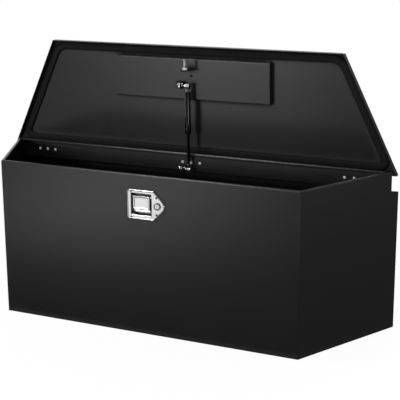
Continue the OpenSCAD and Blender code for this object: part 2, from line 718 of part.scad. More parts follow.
// Window in the cup's floor and in the back plate for the paddle's arm
arm_drop = arm_reach * sin(paddle_pull) + arm_half + window_spare;
module arm_window(from, to)
    translate([cup_x + paddle_width / 2 - paddle_sheet - window_side, front_y + from, pin_z - arm_drop])
        cube([paddle_sheet + 2 * window_side, to - from, arm_drop + arm_half + window_spare]);

module latch_case() color("#d8dadc") difference() {
    union() {
        at_latch() translate([0, -latch_plate, 0]) along_y(latch_plate) polygon(face_outline);
        translate([cup_x, front_y - latch_plate / 2, cup_z]) along_y(cup_back + latch_plate / 2)
            polygon(cup_outline(cup_sheet));
    }
    translate([cup_x, front_y - latch_plate - 1, cup_z]) along_y(latch_plate + 1 + cup_depth)
        polygon(cup_outline(0));
    arm_window(cup_depth - 1, cup_back + 1);
    translate([lock_x, front_y, latch_z]) bar_y(barrel_r + run_fit, -latch_plate - 1, 1);
    at_screws() bar_y(screw_r + hole_fit, -latch_plate - 1, 1);
    at_paddle_pin() bar_x(paddle_pin_r + run_fit, -cup_width, cup_width);
}

screw_head_h = 1.1;
screw_head_reach = 1.2;
screw_end = 5.5;
module latch_screws() color("#c4c7ca") at_screws() {
    bar_y(screw_r, -latch_plate, wall + screw_end);
    translate([0, -latch_plate, 0]) rotate([90, 0, 0]) dome(screw_r + screw_head_reach, screw_head_h);
}

// Nuts of sheet-metal height behind the front wall
thin_nut = 4;
screw_nut_size = 8;
module thin_nut_y(size, bore) difference() {
    hex_y(size, wall, wall + thin_nut);
    bar_y(bore + run_fit, wall - 1, wall + thin_nut + 1);
}
module latch_nuts() color("#b9bcc0") at_screws() thin_nut_y(screw_nut_size, screw_r);

// The paddle's face ends in a finger lip that is drawn back into the cup
paddle_face_y = front_y - latch_plate + 0.5;
paddle_top = pin_z + 3;
paddle_bend = latch_z - 6;
paddle_low = latch_z - 19;
lip_in = 10;
lip_fold = 3;
cheek_y = front_y + pin_y + cheek_reach;
module paddle() color("#e2e4e6") difference() {
    union() {
        translate([cup_x, 0, 0]) along_x(paddle_width) polygon(folded([[paddle_face_y, paddle_top],
            [paddle_face_y, paddle_bend], [paddle_face_y + lip_in, paddle_low]], paddle_sheet, lip_fold));
        for (reach = [cheek_reach, arm_reach])
            translate([cup_x + (reach > cheek_reach ? 1 : -1) * (paddle_width - paddle_sheet) / 2, 0, 0])
                along_x(paddle_sheet) polygon([[paddle_face_y, paddle_top],
                    [paddle_face_y, paddle_bend + lip_fold], [cheek_y, pin_z - 2 * arm_half],
                    [front_y + pin_y + reach, pin_z - arm_half],
                    [front_y + pin_y + reach, pin_z + arm_half], [cheek_y, paddle_top]]);
    }
    at_paddle_pin() bar_x(paddle_pin_r + run_fit, -paddle_width, paddle_width);
}
module paddle_pin() color("#8f9296") at_paddle_pin() bar_x(paddle_pin_r,
    -cup_width / 2 - cup_sheet - 1, cup_width / 2 + cup_sheet + 1);
// The springs are drawn as sleeves round their pins
spring_gap = 0.5;
spring_wire = 1.4;
paddle_spring_half = 10;
module paddle_spring() color("#8f9296") at_paddle_pin() difference() {
    bar_x(paddle_pin_r + spring_gap + spring_wire, -paddle_spring_half, paddle_spring_half);
    bar_x(paddle_pin_r + spring_gap, -paddle_spring_half - 1, paddle_spring_half + 1);
}

lock_face = -latch_plate - 2;
barrel_end = 26;
barrel_rim = 2.5;
lock_nut_rim = 8;
keyway = [1.6, 9, 7];
cam_hub_rim = 1.5;
cam_h = 2;
cam_width = 8;
cam_reach = 26;
module lock_barrel() color("#cfd2d5") at_latch() translate([lock_x, 0, 0]) difference() {
    union() {
        bar_y(barrel_r + barrel_rim, lock_face, -latch_plate);
        bar_y(barrel_r, lock_face, barrel_end);
    }
    bar_y(plug_r + run_fit, lock_face - 1, barrel_end + 1);
}
module lock_nut() color("#b9bcc0") at_latch() translate([lock_x, 0, 0])
    thin_nut_y(2 * barrel_r + lock_nut_rim, barrel_r);
module lock_plug() color("#b9bcc0") at_latch() translate([lock_x, 0, 0]) difference() {
    bar_y(plug_r, lock_face - 0.5, barrel_end + 1);
    translate([-keyway[0] / 2, lock_face - 1, -keyway[2] / 2]) cube(keyway);
}
module lock_cam() color("#8f9296") at_latch() translate([lock_x, barrel_end + 1, 0]) {
    bar_y(plug_r + cam_hub_rim, 0, cam_h);
    translate([-cam_width / 2, 0, -cam_reach]) cube([cam_width, cam_h, cam_reach]);
}

// Outline of the two plates that carry the claw, with the slot that the striker drops into
module striker_slot_plate(y) translate([0, front_y + y, 0]) along_y(plate_h) difference() {
    polygon(rounded_outline([[plate_left, latch_z + plate_low], [plate_right, latch_z + plate_low],
        [plate_right, latch_z + plate_high], [plate_left, latch_z + plate_high]], plate_corner));
    translate([striker_x - striker_r - slot_side, striker_z - striker_r - hook_gap])
        square([2 * (striker_r + slot_side), plate_high]);
}

module latch_back_plate() color("#3a3b3d") difference() {
    striker_slot_plate(cup_back);
    arm_window(cup_back - 1, layer_y + 1);
}
module latch_cover() color("#3a3b3d") striker_slot_plate(cover_y);
spacer_r = 3;
module latch_spacers() color("#8f9296") at_latch() for (p = spacer_places)
    translate([p[0], 0, p[1]]) bar_y(spacer_r, layer_y, cover_y);

module at_claw() translate([claw_at[0], front_y, claw_at[1]]) children();
module at_pawl() translate([pawl_at[0], front_y, pawl_at[1]]) children();

// The claw is drawn open. Shut, its hook lies just above the striker bolt.
hook_gap = 0.5;
striker_from_claw = [striker_x, striker_z] - claw_at;
hook_start = atan2(striker_from_claw[1], striker_from_claw[0])
    + asin((striker_r + hook_gap) / norm(striker_from_claw));
hook_sweep = 26;
hook_steps = 6;
claw_low = layer_y + body_gap;
// The notch in the hub that the pawl's nose would drop into
notch_angle = 25;
notch_in = 3;
notch_low = 7;
notch_height = 5;
module claw() color("#55575a") at_claw() rotate([0, -claw_turn, 0]) difference() {
    union() {
        bar_y(claw_r, claw_low, claw_low + claw_h);
        translate([0, claw_low, 0]) along_y(claw_h) polygon(concat([[0, 0]],
            [for (k = [0:hook_steps]) let (a = hook_start + hook_sweep * k / hook_steps)
                hook_r * [cos(a), sin(a)]]));
    }
    bar_y(claw_pin_r + run_fit, 0, cover_y + 1);
    rotate([0, notch_angle, 0]) translate([claw_r - notch_in, claw_low - 1, -notch_low])
        cube([2 * notch_in, claw_h + 2, notch_height]);
}
module claw_pin() color("#8f9296") at_claw() bar_y(claw_pin_r, layer_y, cover_y);
module claw_spring() color("#8f9296") at_claw() difference() {
    bar_y(claw_pin_r + spring_gap + spring_wire, claw_low + claw_h + body_gap, cover_y - body_gap);
    bar_y(claw_pin_r + spring_gap, layer_y, cover_y);
}

// The pawl is a round hub with a nose that points at the claw's hub
pawl_hub_r = 6;
pawl_nose = 3;
pawl_gap = 0.5;
pawl_reach = norm(pawl_at - claw_at) - claw_r - pawl_gap;
pawl_angle = atan2(claw_at[1] - pawl_at[1], claw_at[0] - pawl_at[0]);
pawl_outline = concat([for (a = [60:20:300]) pawl_hub_r * [cos(a), sin(a)]],
    [[pawl_reach, -pawl_nose], [pawl_reach, pawl_nose]]);
module pawl() color("#55575a") at_pawl() difference() {
    rotate([0, -pawl_angle, 0]) translate([0, claw_low, 0]) along_y(claw_h) polygon(pawl_outline);
    bar_y(pawl_pin_r + run_fit, 0, cover_y + 1);
}
module pawl_pin() color("#8f9296") at_pawl() bar_y(pawl_pin_r, layer_y, cover_y);

front_panel();
left_side_panel();
right_side_panel();
rear_panel();
floor_panel();
hinge_box_leaf_left();
hinge_box_leaf_middle();
hinge_box_leaf_right();
hinge_lid_leaf_left();
hinge_lid_leaf_middle();
hinge_lid_leaf_right();
hinge_pin_left();
hinge_pin_middle();
hinge_pin_right();
hinge_box_rivets();
hinge_lid_rivets();
lid_shell();
lid_pan();
lid_seal();
striker_tab();
striker_bolt();
striker_nut();
upper_strut_bracket();
upper_stud();
upper_stud_nut();
upper_bracket_rivets();
lower_strut_bracket();
lower_ball_stud();
lower_stud_nut();
lower_bracket_rivets();
lower_socket();
strut_rod();
strut_piston();
strut_tube();
rod_guide();
upper_socket();
upper_ball();
latch_case();
latch_screws();
latch_nuts();
paddle();
paddle_pin();
paddle_spring();
lock_barrel();
lock_nut();
lock_plug();
lock_cam();
latch_back_plate();
latch_cover();
latch_spacers();
claw();
claw_pin();
claw_spring();
pawl();
pawl_pin();
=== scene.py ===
import json
import math

import bmesh
import bpy
from mathutils import Matrix, Vector


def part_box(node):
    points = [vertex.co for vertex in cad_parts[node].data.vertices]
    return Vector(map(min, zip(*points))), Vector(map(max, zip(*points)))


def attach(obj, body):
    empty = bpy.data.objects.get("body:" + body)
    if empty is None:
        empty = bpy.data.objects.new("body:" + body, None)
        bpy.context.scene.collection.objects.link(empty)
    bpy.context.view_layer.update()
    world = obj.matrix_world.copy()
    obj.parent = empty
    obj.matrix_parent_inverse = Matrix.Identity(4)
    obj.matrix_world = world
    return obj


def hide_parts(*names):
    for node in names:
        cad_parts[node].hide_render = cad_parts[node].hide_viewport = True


# A trailer tongue box in a studio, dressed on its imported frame. All lengths are metres.
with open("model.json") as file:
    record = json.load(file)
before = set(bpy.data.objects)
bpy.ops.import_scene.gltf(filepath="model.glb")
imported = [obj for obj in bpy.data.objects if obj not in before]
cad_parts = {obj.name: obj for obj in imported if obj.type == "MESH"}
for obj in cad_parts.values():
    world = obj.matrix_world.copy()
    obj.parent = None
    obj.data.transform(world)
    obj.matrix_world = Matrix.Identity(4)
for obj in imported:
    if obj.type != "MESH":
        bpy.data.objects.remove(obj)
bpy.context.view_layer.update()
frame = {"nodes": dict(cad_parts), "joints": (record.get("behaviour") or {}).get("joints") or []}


# The front wall is one blank of 2 mm cold-rolled sheet. Its top is folded back into a rim with a
# short lip, the openings for the latch are punched, and the black powder is baked on last.
class Wire:
    """An output in a tree of nodes. Arithmetic on wires adds Math nodes."""

    def __init__(self, tree, socket=None):
        self.tree = tree
        self.socket = socket

    def node(self, kind, settings=None, inputs=None, output=0):
        """Adds a node: its settings first, then what its sockets take. A list joins several wires."""
        made = self.tree.nodes.new(kind)
        for name, value in (settings or {}).items():
            setattr(made, name, value)
        for name, value in (inputs or {}).items():
            for one in value if isinstance(value, list) else [value]:
                if isinstance(one, Wire):
                    self.tree.links.new(one.socket, made.inputs[name])
                else:
                    made.inputs[name].default_value = one
        return Wire(self.tree, made.outputs[output] if made.outputs else None)

    def math(self, operation, first, second=0.0):
        return self.node("ShaderNodeMath", {"operation": operation}, {0: first, 1: second})

    def __add__(self, other):
        return self.math("ADD", self, other)

    def __radd__(self, other):
        return self.math("ADD", other, self)

    def __sub__(self, other):
        return self.math("SUBTRACT", self, other)

    def __rsub__(self, other):
        return self.math("SUBTRACT", other, self)

    def __mul__(self, other):
        return self.math("MULTIPLY", self, other)

    def __rmul__(self, other):
        return self.math("MULTIPLY", other, self)

    def __truediv__(self, other):
        return self.math("DIVIDE", self, other)

    def __rtruediv__(self, other):
        return self.math("DIVIDE", other, self)

    def __pow__(self, other):
        return self.math("POWER", self, other)

    def __rpow__(self, other):
        return self.math("POWER", other, self)

    def __abs__(self):
        return self.math("ABSOLUTE", self)

    def least(self, other):
        return self.math("MINIMUM", self, other)

    def most(self, other):
        return self.math("MAXIMUM", self, other)

    def clamped(self):
        return self.least(1.0).most(0.0)

    def vector(self, operation, first, second, output="Vector"):
        return self.node("ShaderNodeVectorMath", {"operation": operation}, {0: first, 1: second}, output)

    def split(self):
        """The X, Y and Z of a vector."""
        return [self.node("ShaderNodeSeparateXYZ", None, {0: self}, axis) for axis in "XYZ"]

    def joined(self, x, y, z):
        return self.node("ShaderNodeCombineXYZ", None, {0: x, 1: y, 2: z})

    def length(self):
        return self.vector("LENGTH", self, (0, 0, 0), "Value")

    def place(self):
        """The point's place in the row frame, in metres."""
        return self.node("ShaderNodeTexCoord", output="Object")

    def noise(self, scale, detail=2.0, stretch=(1, 1, 1)):
        """Noise of about scale features a metre, drawn out where stretch is small."""
        where = self.vector("MULTIPLY", self.place(), stretch)
        return self.node("ShaderNodeTexNoise", None, {"Vector": where, "Scale": scale, "Detail": detail})

    def eased(self, radius):
        """The surface's direction, as if its edges were rounded to radius."""
        return self.node("ShaderNodeBevel", {"samples": 6}, {"Radius": radius})

    def edges(self, eased):
        """How far the eased direction turns from the real one, from 0 on a flat to 1 on an edge."""
        real = self.node("ShaderNodeNewGeometry", output="Normal")
        return (1 - self.vector("DOT_PRODUCT", eased, real, "Value")).clamped()

    def blend(self, share, first, second):
        """A colour between two, where share runs from 0 to 1."""
        return self.node("ShaderNodeMix", {"data_type": "RGBA"}, {0: share, 6: first, 7: second}, 2)

    def bump(self, height, depth, under, strength=1.0):
        return self.node("ShaderNodeBump", None, {"Height": height, "Distance": depth,
                                                  "Strength": strength, "Normal": under})


def grey(shade):
    return (shade, shade, shade, 1)


def finish(name, build, **fixed):
    """A material whose unchanging values stand on the surface's own sockets. build wires up the rest."""
    material = bpy.data.materials.new(name)
    material.use_nodes = True
    tree = material.node_tree
    surface = tree.nodes["Principled BSDF"]
    for socket, value in fixed.items():
        surface.inputs[socket.replace("_", " ")].default_value = value
    for socket, wire in build(Wire(tree)).items():
        tree.links.new(wire.socket, surface.inputs[socket])
    return material


nodes = frame["nodes"]


def dress(material, *names):
    """Gives CAD nodes their material."""
    for name in names:
        for slot in nodes[name].material_slots:
            slot.material = material


def powder(wire):
    """Baked powder: a fine orange peel, with a painted highlight along the level folds, and duller in the
    nooks.
    """
    eased = wire.eased(0.0026)
    # The paler base colour along the level folds is a painted highlight, not wear.
    level = abs(wire.node("ShaderNodeVectorTransform", {"vector_type": "NORMAL"}, {0: eased}).split()[2])
    edge = wire.edges(eased) * level * 3.4
    peel = wire.noise(430)
    mottle = wire.noise(26, 3)
    nook = 1 - wire.node("ShaderNodeAmbientOcclusion", {"samples": 8}, {"Distance": 0.017}, "AO")
    return {
        "Base Color": wire.blend(edge.clamped(), grey(0.003), grey(0.025)),
        "Roughness": 0.34 + (mottle - 0.5) * 0.08 + nook * 1.1,
        "Normal": wire.bump(peel, 0.00012, eased, 0.35),
    }


powder_coat = finish("black_powder_coat", powder, Specular_IOR_Level=0.72)
dress(powder_coat, "front_panel")

# The two side walls flare out like the frame of a trailer tongue. They are mirror images, cut
# with the step for the open lid, folded over at the top and mitred into the front wall.
dress(powder_coat, "left_side_panel", "right_side_panel")

# The rear wall is folded twice into a ledge under the hinges, so that the open lid stays within
# the depth of the box. Water runs off the ledge, which falls to the back.
dress(powder_coat, "rear_panel")

# The floor is a shallow tray with its edges turned up, welded in between the four walls and
# coated with them.
dress(powder_coat, "floor_panel")


# The three butt hinges are rolled from 1.2 mm strip and dipped in black paint with their
# leaves open. Their pins are bright drawn wire.
def dipped(wire):
    """Dip paint on small brackets: smoother than powder, and rubbed a little paler at the edges."""
    eased = wire.eased(0.0004)
    worn = wire.edges(eased) * wire.noise(160, 3) * 2.0
    return {
        "Base Color": wire.blend(worn.clamped(), grey(0.006), grey(0.05)),
        "Roughness": 0.30 + wire.noise(90, 2) * 0.16,
        "Normal": wire.bump(wire.noise(700, 1), 0.00008, eased, 0.3),
    }


def plated(wire):
    """Bright zinc: faint cloudy grains, with the tool's marks left under them."""
    eased = wire.eased(0.0003)
    cloud = wire.noise(240, 3)
    return {
        "Base Color": wire.blend(cloud, (0.60, 0.61, 0.63, 1), (0.80, 0.80, 0.78, 1)),
        "Roughness": 0.18 + cloud * 0.14,
        "Normal": wire.bump(wire.noise(1500, 2), 0.00004, eased, 0.25),
    }


bracket_paint = finish("black_dip_paint", dipped, Specular_IOR_Level=0.1)
zinc = finish("bright_zinc", plated, Metallic=1.0)
hinge_sides = ("left", "middle", "right")
for side in hinge_sides:
    dress(bracket_paint, f"hinge_box_leaf_{side}", f"hinge_lid_leaf_{side}")
    dress(zinc, f"hinge_pin_{side}")


# Rivets hold the hinges: satin aluminium ones through the rear wall, and painted ones through the
# lid's flange. Each head is domed, with a hollow in the middle where its mandrel broke off.
def recipe(name, *sizes):
    """A new tree of geometry nodes, as the wires that it is given: the geometry and its named sizes."""
    tree = bpy.data.node_groups.new(name, "GeometryNodeTree")
    tree.interface.new_socket("Geometry", in_out="INPUT", socket_type="NodeSocketGeometry")
    tree.interface.new_socket("Finish", in_out="INPUT", socket_type="NodeSocketMaterial")
    for size in sizes:
        tree.interface.new_socket(size, in_out="INPUT", socket_type="NodeSocketFloat")
    tree.interface.new_socket("Geometry", in_out="OUTPUT", socket_type="NodeSocketGeometry")
    given = Wire(tree).node("NodeGroupInput").socket.node.outputs
    return {socket.name: Wire(tree, socket) for socket in given if socket.name}


def serve(shape, finish_wire, smooth=True):
    """Ends a tree: real faces instead of instances, with their shading and material."""
    real = shape.node("GeometryNodeRealizeInstances", None, {"Geometry": shape})
    shaded = shape.node("GeometryNodeSetShadeSmooth", None, {"Geometry": real, "Shade Smooth": smooth})
    done = shape.node("GeometryNodeSetMaterial", None, {"Geometry": shaded, "Material": finish_wire})
    shape.node("NodeGroupOutput", None, {"Geometry": done})
    return shape.tree


def in_scene(name, data):
    """A new object in the scene."""
    made = bpy.data.objects.new(name, data)
    bpy.context.scene.collection.objects.link(made)
    return made


def cook(name, tree, start, **sizes):
    """Runs a tree on a mesh and keeps what it makes as the plain mesh of a new object."""
    piece = in_scene(name, start)
    step = piece.modifiers.new(name, "NODES")
    step.node_group = tree
    for item in tree.interface.items_tree:
        key = item.name.replace(" ", "_").lower()
        if key in sizes:
            step[item.identifier] = sizes[key]
    return plain(piece)


def plain(piece):
    """Turns what a piece's modifiers make into its mesh, and takes them off."""
    ready = piece.evaluated_get(bpy.context.evaluated_depsgraph_get())
    made = bpy.data.meshes.new_from_object(ready)
    piece.modifiers.clear()
    piece.data = made
    return piece


def facing_points(name, spots):
    """A mesh of points from pairs of a place and a direction."""
    start = bpy.data.meshes.new(name)
    start.from_pydata([place for place, _ in spots], [], [])
    aims = start.attributes.new("facing", "FLOAT_VECTOR", "POINT")
    for aim, (_, direction) in zip(aims.data, spots):
        aim.vector = direction
    return start


def set_on_points(shape, points):
    """Puts a shape that points along +Z on each point, turned to the point's facing."""
    facing = shape.node("GeometryNodeInputNamedAttribute", {"data_type": "FLOAT_VECTOR"}, {"Name": "facing"})
    turn = shape.node("FunctionNodeAlignRotationToVector", {"axis": "Z"}, {"Vector": facing})
    return shape.node("GeometryNodeInstanceOnPoints", None,
                      {"Points": points, "Instance": shape, "Rotation": turn})


def fastener_tree():
    """A domed head on each point, with a shank under it. Cross cuts a driver's cross in the head."""
    given = recipe("fasteners", "Radius", "Height", "Hollow", "Cross", "Shank Radius", "Shank Length",
                   "Thread", "Rings")
    hollow_slope, arm_half_width, arm_reach, thread_pitch = 3.2, 0.16, 0.62, 0.0008
    radius, height = given["Radius"], given["Height"]
    cone = radius.node("GeometryNodeMeshCone", None,
                       {"Vertices": 32, "Side Segments": 14, "Radius Top": 0.0, "Radius Bottom": radius,
                        "Depth": height}, "Mesh")
    x, y, z = radius.node("GeometryNodeInputPosition").split()
    reach = (x * x + y * y) ** 0.5 / radius
    quarter = reach * (math.pi / 2)
    swell = radius.math("SINE", quarter) / reach.most(0.001)
    crown = radius.math("COSINE", quarter) * height
    pit = given["Hollow"] * (1 - reach * hollow_slope).clamped()
    arms = []
    for across, along in ((x, y), (y, x)):
        from_side = (1 - abs(across) / (radius * arm_half_width)).clamped() * 2
        from_end = (arm_reach - abs(along) / radius) * 6
        arms.append(from_side.least(from_end.clamped()))
    cross = given["Cross"] * arms[0].most(arms[1]).clamped()
    head = radius.node("GeometryNodeSetPosition", None,
                       {"Geometry": cone, "Position": x.joined(x * swell, y * swell, crown - pit - cross)})
    length = given["Shank Length"]
    bar = radius.node("GeometryNodeMeshCylinder", None,
                      {"Vertices": 24, "Side Segments": given["Rings"], "Radius": given["Shank Radius"],
                       "Depth": length}, "Mesh")
    ridge = 1 + given["Thread"] * radius.math("SINE", z * (2 * math.pi / thread_pitch))
    shank = radius.node("GeometryNodeSetPosition", None,
                        {"Geometry": bar, "Position": x.joined(x * ridge, y * ridge, z - length * 0.5)})
    both = radius.node("GeometryNodeJoinGeometry", None, {"Geometry": [head, shank]})
    return serve(set_on_points(both, given["Geometry"]), given["Finish"])


fasteners = fastener_tree()


def stands_for(piece, node, body):
    """The piece takes a CAD node's place and its body."""
    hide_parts(node)
    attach(piece, body)


def heads(name, spots, body, node, material, **sizes):
    """Fasteners on the spots, in a CAD node's place."""
    piece = cook(name, fasteners, facing_points(name, spots), finish=material, **sizes)
    stands_for(piece, node, body)


lid_hinge = [joint for joint in frame["joints"] if joint["name"] == "lid_hinge"][0]
hinge_point = Vector(lid_hinge["pos_m"])
lid_angle = math.radians(lid_hinge["range_deg"][1])
opened = (Matrix.Translation(hinge_point) @ Matrix.Rotation(-lid_angle, 4, "X")
          @ Matrix.Translation(-hinge_point))
IN, OUT = Vector((0, -1, 0)), Vector((0, 1, 0))


def on_open_lid(spots):
    """Carries places and directions that are given with the lid shut onto the open lid."""
    return [(opened @ Vector(place), opened.to_3x3() @ way) for place, way in spots]


def satin(wire):
    """Drawn aluminium with a pale, slightly chalky skin."""
    eased = wire.eased(0.0003)
    chalk = wire.noise(520, 3)
    return {
        "Base Color": wire.blend(chalk, (0.62, 0.63, 0.64, 1), (0.80, 0.80, 0.79, 1)),
        "Roughness": 0.30 + chalk * 0.16,
        "Normal": wire.bump(chalk, 0.00005, eased, 0.25),
    }


aluminium = finish("satin_aluminium", satin, Metallic=0.45)
rivet = {"radius": 0.0044, "height": 0.0013, "hollow": 0.0007, "shank_radius": 0.0024,
         "shank_length": 0.001, "rings": 1}
rear_face, rear_inside, leaf = 0.143, 0.141, 0.0012
lid_rear, flange_inside = 0.1508, 0.1488
hinge_middles = [sum(corner.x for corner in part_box(f"hinge_pin_{side}")) / 2 for side in hinge_sides]
rivet_pitch, box_rivet_z, lid_rivet_z = 0.028, 0.4275, 0.4567
rivet_columns = [middle + k * rivet_pitch for middle in hinge_middles for k in (-1, 0, 1)]
heads("rivets_in_the_rear_wall",
      [((x, y, box_rivet_z), way) for x in rivet_columns
       for y, way in ((rear_inside, IN), (rear_face + leaf, OUT))],
      "box", "hinge_box_rivets", aluminium, **rivet)
heads("rivets_in_the_lid_flange",
      on_open_lid([((x, y, lid_rivet_z), way) for x in rivet_columns
                   for y, way in ((flange_inside - leaf, IN), (lid_rear, OUT))]),
      "lid", "hinge_lid_rivets", bracket_paint, **rivet)

# The lid is a tray turned upside down: one sheet with four folded flanges, its corners welded
# and ground before the powder goes on.
dress(powder_coat, "lid_shell")

# The pan is a second, smaller tray that is spot-welded under the lid's front half by small tabs.
# It stiffens the lid and carries the striker and the strut's upper bracket.
dress(powder_coat, "lid_pan")


# The seal is an extruded strip of black foam rubber, glued to the lid just inside its flange and
# bent round the corners in one length.
def foam(wire):
    """Foam rubber: a skin full of fine pores."""
    pores = wire.noise(1900, 2)
    return {
        "Base Color": wire.blend(wire.noise(60, 3), grey(0.005), grey(0.010)),
        "Roughness": 0.62 + pores * 0.16,
        "Normal": wire.node("ShaderNodeBump", None,
                            {"Height": pores, "Distance": 0.0002, "Strength": 0.4}),
    }


def seal_tree():
    """A crowned strip that follows a closed line. The lower its powers, the squarer its section."""
    given = recipe("seal_strip", "Width", "Height")
    side_power, crown_power = 0.7, 0.62
    width = given["Width"]
    ring = width.node("GeometryNodeCurvePrimitiveCircle", {"mode": "RADIUS"},
                      {"Resolution": 40, "Radius": 1.0})
    x, y, _ = width.node("GeometryNodeInputPosition").split()
    side = width.math("SIGN", x) * abs(x) ** side_power
    crown = y.most(0.0) ** crown_power
    outline = x.joined(side * width * 0.5, crown * given["Height"], 0.0)
    section = width.node("GeometryNodeSetPosition", None, {"Geometry": ring, "Position": outline})
    line = width.node("GeometryNodeMeshToCurve", None, {"Mesh": given["Geometry"]})
    level = width.node("GeometryNodeSetCurveNormal", {"mode": "Z_UP"}, {"Curve": line})
    strip = width.node("GeometryNodeCurveToMesh", None, {"Curve": level, "Profile Curve": section})
    return serve(strip, given["Finish"])


def rounded_corner(before, corner, after, radius, steps):
    """Points of an arc that rounds a corner between its two neighbours."""
    back = (before - corner).normalized()
    ahead = (after - corner).normalized()
    half = back.angle(ahead) / 2
    middle = corner + (back + ahead).normalized() * radius / math.sin(half)
    first = corner + back * radius / math.tan(half) - middle
    last = corner + ahead * radius / math.tan(half) - middle
    return [middle + first.slerp(last, step / steps) * radius for step in range(steps + 1)]


def rounded_line(corners, radii, steps):
    """A closed line through corners, each rounded to its own radius."""
    line = []
    for i, (corner, radius) in enumerate(zip(corners, radii)):
        line += rounded_corner(corners[i - 1], corner, corners[(i + 1) % len(corners)], radius, steps)
    return line


front_face = -0.169
box_depth, front_half, rear_half = 0.338, 0.457, 0.619
flare = (rear_half - front_half) / box_depth
slant = math.hypot(1, flare)
lid_under = 0.465
seal_width, seal_height = 0.023, 0.0077
seal_inset, seal_rear = 0.0087, 0.1343
seal_radii = (0.045, 0.045, 0.020, 0.020)


def side_x(y, inset):
    """Half the box's width at depth y, less an inset measured square to the side."""
    return front_half + flare * (y - front_face) - inset * slant


rubber = finish("black_foam_rubber", foam, Specular_IOR_Level=0.12)
seal_front = front_face + seal_inset
seal_corners = [Vector((sign * side_x(y, seal_inset), y, lid_under))
                for sign, y in ((-1, seal_front), (1, seal_front), (1, seal_rear), (-1, seal_rear))]
seal_line = rounded_line(seal_corners, seal_radii, 14)
seal_mesh = bpy.data.meshes.new("seal_line")
seal_mesh.from_pydata(seal_line, [(i, (i + 1) % len(seal_line)) for i in range(len(seal_line))], [])
seal_strip = cook("seal_strip", seal_tree(), seal_mesh, finish=rubber,
                  width=seal_width, height=seal_height)
seal_strip.data.transform(opened)
stands_for(seal_strip, "lid_seal", "lid")


# The striker is a bright bolt that points to the front from a painted tab on the pan. A nut with
# chamfered corners locks it.
def nut_tree():
    """A hexagon nut on each point, its corners turned off at 30 degrees."""
    given = recipe("nuts", "Size", "Height")
    end_share, chamfer_slope = 0.97, 1.73
    height = given["Height"]
    half = given["Size"] * 0.5
    bar = height.node("GeometryNodeMeshCylinder", None,
                      {"Vertices": 48, "Side Segments": 12, "Fill Segments": 4, "Radius": 1.0,
                       "Depth": height}, "Mesh")
    x, y, z = height.node("GeometryNodeInputPosition").split()
    angle = height.math("ARCTAN2", y, x) + 2 * math.pi
    sector = height.math("MODULO", angle, math.pi / 3) - math.pi / 6
    hexagon = half / height.math("COSINE", sector)
    from_end = height * 0.5 - abs(z)
    turned = half * end_share + from_end * chamfer_slope
    scale = hexagon.least(turned)
    nut = height.node("GeometryNodeSetPosition", None,
                      {"Geometry": bar, "Position": x.joined(x * scale, y * scale, z + height * 0.5)})
    return serve(set_on_points(nut, given["Geometry"]), given["Finish"], smooth=False)


nuts = nut_tree()


def nut(name, spots, body, node, **sizes):
    """Bright zinc nuts on the spots, in a CAD node's place."""
    piece = cook(name, nuts, facing_points(name, spots), finish=zinc, **sizes)
    stands_for(piece, node, body)


dress(bracket_paint, "striker_tab")
dress(zinc, "striker_bolt")
large_nut = {"size": 0.013, "height": 0.0065}
striker_x, striker_z, striker_setback = 0.003, 0.409, 0.054
nut("nut_on_the_striker", on_open_lid([((striker_x, front_face + striker_setback, striker_z), IN)]),
    "lid", "striker_nut", **large_nut)


# The strut's brackets are bent from 3 mm strip, painted and riveted to the pan and the rear wall.
# Ball studs turned from bright steel stand in them, each held by a nut on its thread.
def threaded(wire):
    """Bright steel with a rolled thread on the end that points to the left, past the flange."""
    thread_pitch, thread_x, thread_sharpness = 0.00125, -0.0172, 20000
    eased = wire.eased(0.0003)
    cloud = wire.noise(240, 3)
    x = wire.place().split()[0]
    wave = wire.math("SINE", x * (2 * math.pi / thread_pitch))
    thread = wave * ((thread_x - x) * thread_sharpness).clamped()
    return {
        "Base Color": wire.blend(cloud, (0.46, 0.47, 0.49, 1), (0.66, 0.66, 0.64, 1)),
        "Roughness": 0.11 + cloud * 0.12,
        "Normal": wire.bump(thread, 0.0003, eased, 0.8),
    }


stud_steel = finish("threaded_bright_steel", threaded, Metallic=1.0)
dress(bracket_paint, "upper_strut_bracket", "lower_strut_bracket")
dress(stud_steel, "upper_stud", "upper_ball", "lower_ball_stud")
bracket_rivet_columns = (-0.0265, -0.0385)
upper_ball_y, upper_ball_z = -0.065, 0.428
lower_ball_y, lower_ball_z = 0.125, 0.410
pan_face, sheet, bracket_sheet = 0.450, 0.002, 0.003
UP, DOWN, LEFT = Vector((0, 0, 1)), Vector((0, 0, -1)), Vector((-1, 0, 0))
heads("rivets_in_the_pan",
      on_open_lid([((x, upper_ball_y, z), way) for x in bracket_rivet_columns
                   for z, way in ((pan_face + sheet, UP), (pan_face - bracket_sheet, DOWN))]),
      "lid", "upper_bracket_rivets", zinc, **rivet)
heads("rivets_of_the_lower_bracket",
      [((x, y, lower_ball_z), way) for x in bracket_rivet_columns
       for y, way in ((rear_face, OUT), (rear_inside - bracket_sheet, IN))],
      "box", "lower_bracket_rivets", zinc, **rivet)
stud_nut_x = -0.020
nut("nut_on_the_upper_stud", on_open_lid([((stud_nut_x, upper_ball_y, upper_ball_z), LEFT)]),
    "lid", "upper_stud_nut", **large_nut)
nut("nut_on_the_lower_stud", [((stud_nut_x, lower_ball_y, lower_ball_z), LEFT)],
    "box", "lower_stud_nut", **large_nut)


# The strut is a gas spring: a drawn tube painted gloss black over a ground and nitrided rod, with
# a die-cast socket screwed on each end.
def gloss(wire):
    """Gloss paint with a faint ripple."""
    eased = wire.eased(0.0004)
    return {
        "Base Color": wire.blend(wire.noise(40, 2), grey(0.003), grey(0.006)),
        "Roughness": 0.07 + wire.noise(300, 2) * 0.04,
        "Normal": wire.bump(wire.noise(500, 1), 0.00005, eased, 0.2),
    }


